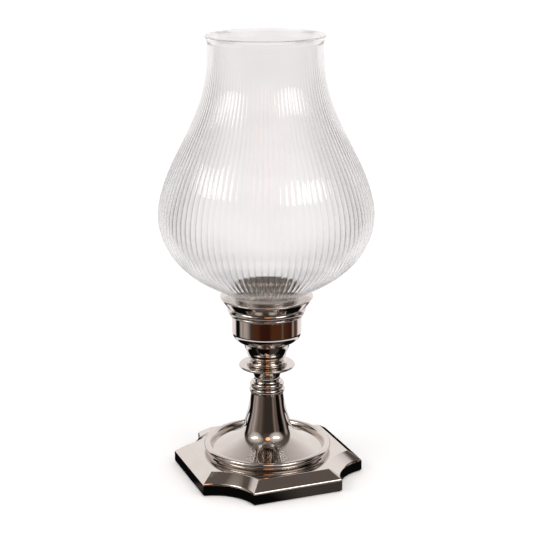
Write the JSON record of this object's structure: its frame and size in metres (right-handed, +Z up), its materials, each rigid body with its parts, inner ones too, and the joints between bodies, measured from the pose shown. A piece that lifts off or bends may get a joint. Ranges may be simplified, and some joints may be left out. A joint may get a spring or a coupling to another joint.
{
  "type": "hurricane candle lantern",
  "caption": "Free-standing candle stand with a square scalloped plinth, trumpet stem and cup, under a lift-off fluted onion-shaped glass shade.",
  "frame": {"origin": "centre of the underside, on the surface that the lantern stands on", "axes": "+Z up along the stem's axis; -Y towards one straight side of the plinth, which is the front; +X to the right seen from the front"},
  "size_m": [0.2398, 0.2398, 0.5],
  "materials": {
    "polished_nickel": "mirror-polished warm nickel plate on brass",
    "zinc_steel": "plain zinc-plated steel hardware",
    "felt": "black felt",
    "clear_glass": "clear glass, moulded vertical flutes"
  },
  "bodies": {
    "stand": {"felt_pad": "felt", "base_plinth": "polished_nickel", "stem_foot": "polished_nickel", "collar_lower": "polished_nickel", "collar_upper": "polished_nickel", "neck_reel": "polished_nickel", "neck_disc": "polished_nickel", "disc_ring": "polished_nickel", "cup_cone": "polished_nickel", "cup_body": "polished_nickel", "cup_ledge_ring": "polished_nickel", "cup_bead_ring": "polished_nickel", "gallery": "polished_nickel", "base_load_washer": "zinc_steel", "base_lock_washer": "zinc_steel", "base_nut": "zinc_steel", "tie_rod": "zinc_steel", "cup_washer": "zinc_steel", "cup_lock_washer": "zinc_steel", "cup_nut": "zinc_steel"},
    "candle_holder": {"candle_holder": "polished_nickel", "candle_spike": "polished_nickel"},
    "shade": {"glass_shade": "clear_glass"}
  },
  "joints": [
    {"name": "shade_lift", "type": "slide", "parent": "stand", "child": "shade", "axis": [0, 0, 1], "range_m": [0, 0.12]},
    {"name": "candle_holder_lift", "type": "slide", "parent": "stand", "child": "candle_holder", "axis": [0, 0, 1], "range_m": [0, 0.06]}
  ]
}
